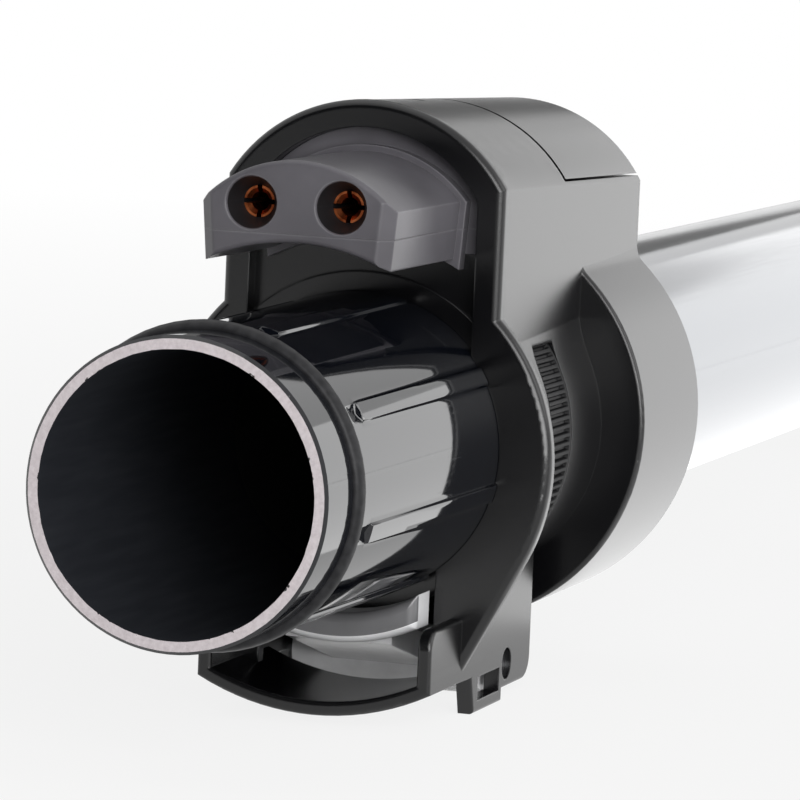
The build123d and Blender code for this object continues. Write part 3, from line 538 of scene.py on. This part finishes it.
def bare_metal(name, bright, dull, patch, roughness):
    """Metal whose colour goes from bright to dull in patches of that size in millimetres."""
    material, tree = new_material(name)
    place = add(tree, "ShaderNodeTexCoord").outputs["Object"]
    patches = add(tree, "ShaderNodeTexNoise", None, {
        "Vector": place, "Scale": per_size(patch), "Detail": 4.0})
    tone = add(tree, "ShaderNodeValToRGB", None, {"Fac": patches.outputs[0]})
    ramp = tone.color_ramp.elements
    ramp[0].position, ramp[0].color = 0.35, linear(dull)
    ramp[1].position, ramp[1].color = 0.65, linear(bright)
    shader = add(tree, "ShaderNodeBsdfPrincipled", None, {
        "Base Color": tone.outputs[0], "Metallic": 1.0, "Roughness": roughness})
    add(tree, "ShaderNodeOutputMaterial", None, {"Surface": shader.outputs[0]})
    return material


rubber = seal_rubber()
copper = bare_metal("tarnished copper", "#BC6C42", "#72361C", 1.5, 0.3)
steel = bare_metal("drawn steel", "#B4B5B8", "#8E8F92", 2.0, 0.3)
print("made", rubber.name, copper.name, steel.name)

# %% [markdown]
# A ribbed spigot, a seal and a toothed ring all follow one rule: a small sector, repeated round the
# axis. So one Geometry Nodes tree serves all three. It puts a copy of the sector on each of a row of
# points that all lie on the axis, turns each by its share of a full circle, makes the copies real and
# welds their seams. A little noise then roughens the places that the sector marks as worn, after the
# weld, so no two copies are alike. The marks "zone" and "worn" travel with the mesh as attributes.

# %% A tree that repeats a sector round the tube


def repeat_round_tube():
    """Geometry Nodes tree: repeats the object's own mesh round X and gives each zone its finish."""
    tree = bpy.data.node_groups.new("repeat_round_tube", "GeometryNodeTree")
    sockets = {
        "Geometry": "NodeSocketGeometry",
        "Count": "NodeSocketInt",
        "First Angle": "NodeSocketFloat",
        "Weld Distance": "NodeSocketFloat",
        "Wear": "NodeSocketFloat",
        "Wear Size": "NodeSocketFloat",
        "Body": "NodeSocketMaterial",
        "Cut Face": "NodeSocketMaterial",
        "Bore": "NodeSocketMaterial",
    }
    for name, kind in sockets.items():
        tree.interface.new_socket(name, in_out="INPUT", socket_type=kind)
    tree.interface.new_socket("Geometry", in_out="OUTPUT", socket_type="NodeSocketGeometry")
    given = add(tree, "NodeGroupInput").outputs

    step = add(tree, "ShaderNodeMath", {"operation": "DIVIDE"}, {0: 2 * pi, 1: given["Count"]})
    turn = add(tree, "ShaderNodeMath", {"operation": "MULTIPLY_ADD"}, {
        0: add(tree, "GeometryNodeInputIndex").outputs[0], 1: step.outputs[0], 2: given["First Angle"]})
    about_x = add(tree, "ShaderNodeCombineXYZ", None, {"X": turn.outputs[0]})
    rotation = add(tree, "FunctionNodeEulerToRotation", None, {"Euler": about_x.outputs[0]})
    row = add(tree, "GeometryNodePoints", None, {"Count": given["Count"]})
    copies = add(tree, "GeometryNodeInstanceOnPoints", None, {
        "Points": row.outputs[0], "Instance": given["Geometry"], "Rotation": rotation.outputs[0]})
    real = add(tree, "GeometryNodeRealizeInstances", None, {"Geometry": copies.outputs[0]})
    welded = add(tree, "GeometryNodeMergeByDistance", None, {
        "Geometry": real.outputs[0], "Distance": given["Weld Distance"]})

    marked = add(tree, "GeometryNodeInputNamedAttribute", {"data_type": "FLOAT"}, {"Name": "worn"})
    fineness = add(tree, "ShaderNodeMath", {"operation": "DIVIDE"}, {0: 1.0, 1: given["Wear Size"]})
    noise = add(tree, "ShaderNodeTexNoise", None, {"Scale": fineness.outputs[0], "Detail": 3.0})
    centred = add(tree, "ShaderNodeVectorMath", {"operation": "SUBTRACT"}, {
        0: noise.outputs["Color"], 1: (0.5, 0.5, 0.5)})
    amount = add(tree, "ShaderNodeMath", {"operation": "MULTIPLY"}, {
        0: marked.outputs["Attribute"], 1: given["Wear"]})
    offset = add(tree, "ShaderNodeVectorMath", {"operation": "SCALE"}, {
        0: centred.outputs[0], "Scale": amount.outputs[0]})
    shaped = add(tree, "GeometryNodeSetPosition", None, {
        "Geometry": welded.outputs[0], "Offset": offset.outputs[0]})

    zone = add(tree, "GeometryNodeInputNamedAttribute", {"data_type": "INT"}, {"Name": "zone"})
    painted = add(tree, "GeometryNodeSetMaterial", None, {
        "Geometry": shaped.outputs[0], "Material": given["Body"]})
    for number, name in ((1, "Cut Face"), (2, "Bore")):
        chosen = add(tree, "FunctionNodeCompare", {"data_type": "INT", "operation": "EQUAL"}, {
            2: zone.outputs["Attribute"], 3: number})
        painted = add(tree, "GeometryNodeSetMaterial", None, {
            "Geometry": painted.outputs[0], "Selection": chosen.outputs[0], "Material": given[name]})
    add(tree, "NodeGroupOutput", None, {"Geometry": painted.outputs[0]})
    return tree


repeat_tree = repeat_round_tube()
print("tree", repeat_tree.name, "has", len(repeat_tree.nodes), "nodes")

# %% [markdown]
# A sector is a strip of outlines. Each outline is a closed loop of points, by length along the tube and
# by distance from its axis, and neighbouring loops are joined by quads. Two helpers serve the loops: a
# soft ramp that rounds every step, and a function that turns the loops into a mesh, repeats it and keeps
# the plain result.

# %% Helpers for sectors
weld_distance = 0.004
wear_size = 1.1
crease_angle = radians(38)


def ramp(position, edge, soft):
    """0 before an edge, 1 after it, with a rounded rise of twice soft between."""
    share = min(1.0, max(0.0, (position - edge) / (2 * soft) + 0.5))
    return share * share * (3 - 2 * share)


def turned_piece(name, loops, turns, zones, worn, count, first_angle, wear, finishes):
    """Repeat a sector round X. loops hold (x, radius) in millimetres, one for each turn in radians."""
    size = len(loops[0])
    points = [
        (x * MM, radius * MM * cos(turn), radius * MM * sin(turn))
        for loop, turn in zip(loops, turns)
        for x, radius in loop
    ]
    faces = []
    for row in range(len(loops) - 1):
        here, there = row * size, (row + 1) * size
        for k in range(size):
            after = (k + 1) % size
            faces.append((here + k, there + k, there + after, here + after))
    mesh = bpy.data.meshes.new(name + "_sector")
    mesh.from_pydata(points, [], faces)
    mesh.polygons.foreach_set("use_smooth", [True] * len(faces))
    mesh.attributes.new("zone", "INT", "FACE").data.foreach_set("value", zones * (len(loops) - 1))
    mesh.attributes.new("worn", "FLOAT", "POINT").data.foreach_set("value", worn * len(loops))
    sector = bpy.data.objects.new(name + "_sector", mesh)
    scene.collection.objects.link(sector)

    repeat = sector.modifiers.new("repeat", "NODES")
    repeat.node_group = repeat_tree
    body, cut_face, bore = finishes
    values = {
        "Count": count, "First Angle": first_angle, "Weld Distance": weld_distance * MM,
        "Wear": wear * MM, "Wear Size": wear_size * MM, "Body": body, "Cut Face": cut_face, "Bore": bore,
    }
    for socket in repeat_tree.interface.items_tree:
        if socket.in_out == "INPUT" and socket.name in values:
            repeat[socket.identifier] = values[socket.name]
    depsgraph = bpy.context.evaluated_depsgraph_get()
    whole = bpy.data.meshes.new_from_object(sector.evaluated_get(depsgraph))
    sector.modifiers.remove(repeat)
    bpy.data.objects.remove(sector)
    whole.name = name
    whole.set_sharp_from_angle(angle=crease_angle)
    piece = bpy.data.objects.new(name, whole)
    scene.collection.objects.link(piece)
    print(name, "has", len(whole.polygons), "faces in", count, "sectors")
    return piece


print("half of a soft ramp:", ramp(1.0, 1.0, 0.2))

# %% [markdown]
# The spigot's sector carries one rib. The rib starts behind a small sink mark, which moulders leave
# where a thick rib cools last, and ends at the flange. In front lies the groove for the seal, and behind
# the flange a thin sleeve grips the steel tube. The sizes are those of the solid that it stands for,
# except that the ribs start a little later, behind a longer and softer sink mark.

# %% Spigot with its ribs
rib_count = 8
rib_first_angle = radians(15)
rib_half_width = 1.2
rib_height = 0.4
rib_start = 17.0
pit_length = 2.6
pit_depth = 0.4
pit_soft = 0.6
tip_radius = 18.4
root_radius = 19.0
tip_chamfer = 0.4
groove_front = 9.25
groove_back = 11.95
groove_depth = 0.7
flange_x = 65.0
sleeve_end = 118.0
sleeve_bore = 18.05
tube_stop = 67.95
step_soft = 0.1
rib_soft = 0.16
mouth_wear = 0.22


def spigot_radius(x, turn):
    """Outer radius of the spigot at x, at a turn from the middle of a rib."""
    share = min(1.0, max(0.0, (x - groove_back) / (flange_x - groove_back)))
    radius = tip_radius + share * (root_radius - tip_radius)
    radius -= tip_chamfer * max(0.0, 1 - x / tip_chamfer)
    radius -= groove_depth * (ramp(x, groove_front, step_soft) - ramp(x, groove_back, step_soft))
    across = 1 - ramp(abs(turn) * tip_radius, rib_half_width, rib_soft)
    rise = ramp(x, rib_start, step_soft) - ramp(x, flange_x - step_soft, step_soft)
    hollow = 1 - ramp(abs(turn) * tip_radius, rib_half_width - pit_soft, pit_soft)
    sink = ramp(x, rib_start - pit_length, pit_soft) - ramp(x, rib_start, step_soft)
    return radius + rib_height * across * rise - pit_depth * hollow * sink


def close_to(edge, soft):
    """Stations that draw a soft step at an edge."""
    return [edge - soft, edge - soft / 2, edge, edge + soft / 2, edge + soft]


outer_stations = [0.0, tip_chamfer / 2, tip_chamfer, 1.0, 4.0, 7.0]
for edge in (groove_front, groove_back, rib_start, flange_x - step_soft):
    outer_stations += close_to(edge, step_soft)
outer_stations += close_to(rib_start - pit_length, pit_soft)
outer_stations += [13.2, 15.7, 20.0, 30.0, 40.0, 50.0, 60.0, 80.0, 100.0, sleeve_end]
outer_stations.sort()
bore_stations = [50.0, 30.0, 15.0, 6.0, 2.0, 0.6]
cut_radii = [mouth_radius, mouth_radius + 0.25, mouth_radius + 0.5, mouth_radius + 0.85]

half_sector = pi / rib_count
across_rib = [0.0, 0.5] + close_to(rib_half_width, rib_soft) + [2.0, 3.2, 4.6, 6.0]
side_turns = [width / tip_radius for width in across_rib] + [half_sector]
spigot_turns = [-turn for turn in reversed(side_turns[1:])] + side_turns
spigot_loops = []
for turn in spigot_turns:
    loop = [(x, spigot_radius(x, turn)) for x in outer_stations]
    loop += [(sleeve_end, sleeve_bore), (tube_stop, sleeve_bore), (tube_stop, mouth_radius)]
    loop += [(x, mouth_radius) for x in bore_stations]
    loop += [(0.0, radius) for radius in cut_radii]
    spigot_loops.append(loop)
loop_size = len(spigot_loops[0])
cut_start = loop_size - len(cut_radii)
bore_start = cut_start - len(bore_stations) - 1
spigot_zones = [0] * bore_start + [2] * (cut_start - bore_start) + [1] * len(cut_radii)
spigot_worn = [0.0] * loop_size
spigot_worn[0] = 0.5
spigot_worn[cut_start - 1] = 0.6
spigot_worn[cut_start] = 1.0
spigot_worn[cut_start + 1] = 0.4
spigot = turned_piece(
    "spigot", spigot_loops, spigot_turns, spigot_zones, spigot_worn, rib_count, rib_first_angle, mouth_wear,
    (spigot_black, spigot_cut, spigot_bore))

# %% [markdown]
# The sleeve has a slot on top, hidden under the hood, through which the wires enter the tube. A Boolean
# modifier cuts it with a box, and the result is kept as a plain mesh again.

# %% Wire slot in the spigot's sleeve
slot_low = Vector((92.0, -3.1, 15.1)) * MM
slot_high = Vector((106.0, 3.1, 23.5)) * MM

corners = [
    (x, y, z)
    for x in (slot_low.x, slot_high.x)
    for y in (slot_low.y, slot_high.y)
    for z in (slot_low.z, slot_high.z)
]
sides = [(0, 1, 3, 2), (4, 6, 7, 5), (0, 4, 5, 1), (2, 3, 7, 6), (0, 2, 6, 4), (1, 5, 7, 3)]
cutter_mesh = bpy.data.meshes.new("slot_cutter")
cutter_mesh.from_pydata(corners, [], sides)
cutter = bpy.data.objects.new("slot_cutter", cutter_mesh)
scene.collection.objects.link(cutter)
cut = spigot.modifiers.new("slot", "BOOLEAN")
cut.operation = "DIFFERENCE"
cut.object = cutter
cut.solver = "EXACT"
depsgraph = bpy.context.evaluated_depsgraph_get()
slotted = bpy.data.meshes.new_from_object(spigot.evaluated_get(depsgraph))
spigot.modifiers.remove(cut)
spigot.data = slotted
bpy.data.objects.remove(cutter)
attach(spigot, "tube")
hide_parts("spigot_sleeve")
print("spigot with its slot has", len(slotted.polygons), "faces")

# %% [markdown]
# The seal is a rubber ring with a half-round crown. Such rings are moulded in two halves, and a
# hair-thin line of flash stays along the crown, where it catches the light. The crown is a little lower than
# the solid's, as on the real one.

# %% Seal ring
seal_x = 10.6
seal_half_width = 1.3
seal_foot_radius = 17.75
seal_sectors = 64
seal_flash = 0.05
crown_height = 1.0
crown_steps = 20

crown = []
for k in range(crown_steps + 1):
    angle = pi - k * pi / crown_steps
    height = crown_height + (seal_flash if k == crown_steps // 2 else 0.0)
    crown.append((seal_x + seal_half_width * cos(angle), tip_radius + height * sin(angle)))
seal_loop = crown + [
    (seal_x + seal_half_width, seal_foot_radius), (seal_x - seal_half_width, seal_foot_radius)]
seal_size = len(seal_loop)
seal_turns = [-pi / seal_sectors, pi / seal_sectors]
seal = turned_piece(
    "seal", [seal_loop, seal_loop], seal_turns, [0] * seal_size, [0.0] * seal_size, seal_sectors, 0.0, 0.0,
    (rubber, rubber, rubber))
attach(seal, "tube")
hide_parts("seal_ring")

# %% [markdown]
# The lock ring is one tooth and one gap, repeated. The gaps are milled from the front and end at a plain
# rim.

# %% Lock ring with its teeth
ring_front = 80.0
ring_back = 89.0
ring_radius = 21.5
ring_bore = 19.05
tooth_count = 120
tooth_end = 88.0
gap_half_width = 0.25
gap_depth = 0.5
gap_soft = 0.09
ring_edge = 0.15


def ring_outer(x, turn):
    """Outer radius of the lock ring at x, at a turn from the middle of a gap."""
    gap = 1 - ramp(abs(turn) * ring_radius, gap_half_width, gap_soft)
    return ring_radius - gap_depth * gap * (1 - ramp(x, tooth_end, ring_edge))


ring_stations = [
    ring_front + ring_edge, tooth_end - ring_edge, tooth_end, tooth_end + ring_edge, ring_back - ring_edge]
gap_side = [0.0, gap_half_width - gap_soft, gap_half_width, gap_half_width + gap_soft]
gap_turns = [width / ring_radius for width in gap_side] + [pi / tooth_count]
ring_turns = [-turn for turn in reversed(gap_turns[1:])] + gap_turns
ring_loops = []
for turn in ring_turns:
    loop = [(ring_front, ring_outer(ring_front, turn) - ring_edge)]
    loop += [(x, ring_outer(x, turn)) for x in ring_stations]
    loop += [(ring_back, ring_outer(ring_back, turn) - ring_edge)]
    loop += [(ring_back, ring_bore), (ring_front, ring_bore)]
    ring_loops.append(loop)
ring_size = len(ring_loops[0])
lock_ring = turned_piece(
    "serrated_ring", ring_loops, ring_turns, [0] * ring_size, [0.0] * ring_size, tooth_count, 0.0, 0.0,
    (ring_black, ring_black, ring_black))
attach(lock_ring, "tube")
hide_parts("lock_ring")

# %% [markdown]
# A coil spring sits between the lever's tail and the neck, and pushes the tongue up. When the tongue is
# pressed, the tail rises and the coil shortens towards its upper seat. The spring here is a plain copy of
# the CAD piece, in its rest shape. The imported mesh is loose triangles, so the copy's doubles are merged
# first.

# %% Latch spring
merge_distance = 0.001

spring_mesh = nodes["latch_spring"].data.copy()
spring_mesh.transform(nodes["latch_spring"].matrix_world)
loose = bmesh.new()
loose.from_mesh(spring_mesh)
bmesh.ops.remove_doubles(loose, verts=loose.verts, dist=merge_distance * MM)
loose.to_mesh(spring_mesh)
loose.free()
for place in range(len(spring_mesh.materials)):
    spring_mesh.materials[place] = steel
spring = bpy.data.objects.new("coil_spring", spring_mesh)
scene.collection.objects.link(spring)
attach(spring, "tube")
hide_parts("latch_spring")
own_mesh(spring)
print("spring has", len(spring_mesh.polygons), "faces")

# %% [markdown]
# The other CAD pieces have the right shape already, so they only get their finishes.

# %% Finish of every CAD piece
finishes = {
    "wand_tube": chrome,
    "spigot_sleeve": spigot_black,
    "seal_ring": rubber,
    "end_housing": housing_black,
    "hood_lid": lid_black,
    "connector_upper": block_grey,
    "connector_lower": block_grey,
    "contact_left": copper,
    "contact_right": copper,
    "lock_ring": ring_black,
    "release_lever": lever_grey,
    "latch_pin": steel,
    "latch_spring": steel,
    "wire_conduit": wire_pvc,
    "wire_left": wire_pvc,
    "wire_right": wire_pvc,
    "socket_housing": housing_black,
    "socket_lid": housing_black,
    "plug_carrier": block_grey,
    "plug_pin_left": copper,
    "plug_pin_right": copper,
}
for name, finish in finishes.items():
    for place in nodes[name].material_slots:
        place.material = finish
print("pieces with a finish:", len(finishes), "of", len(nodes))
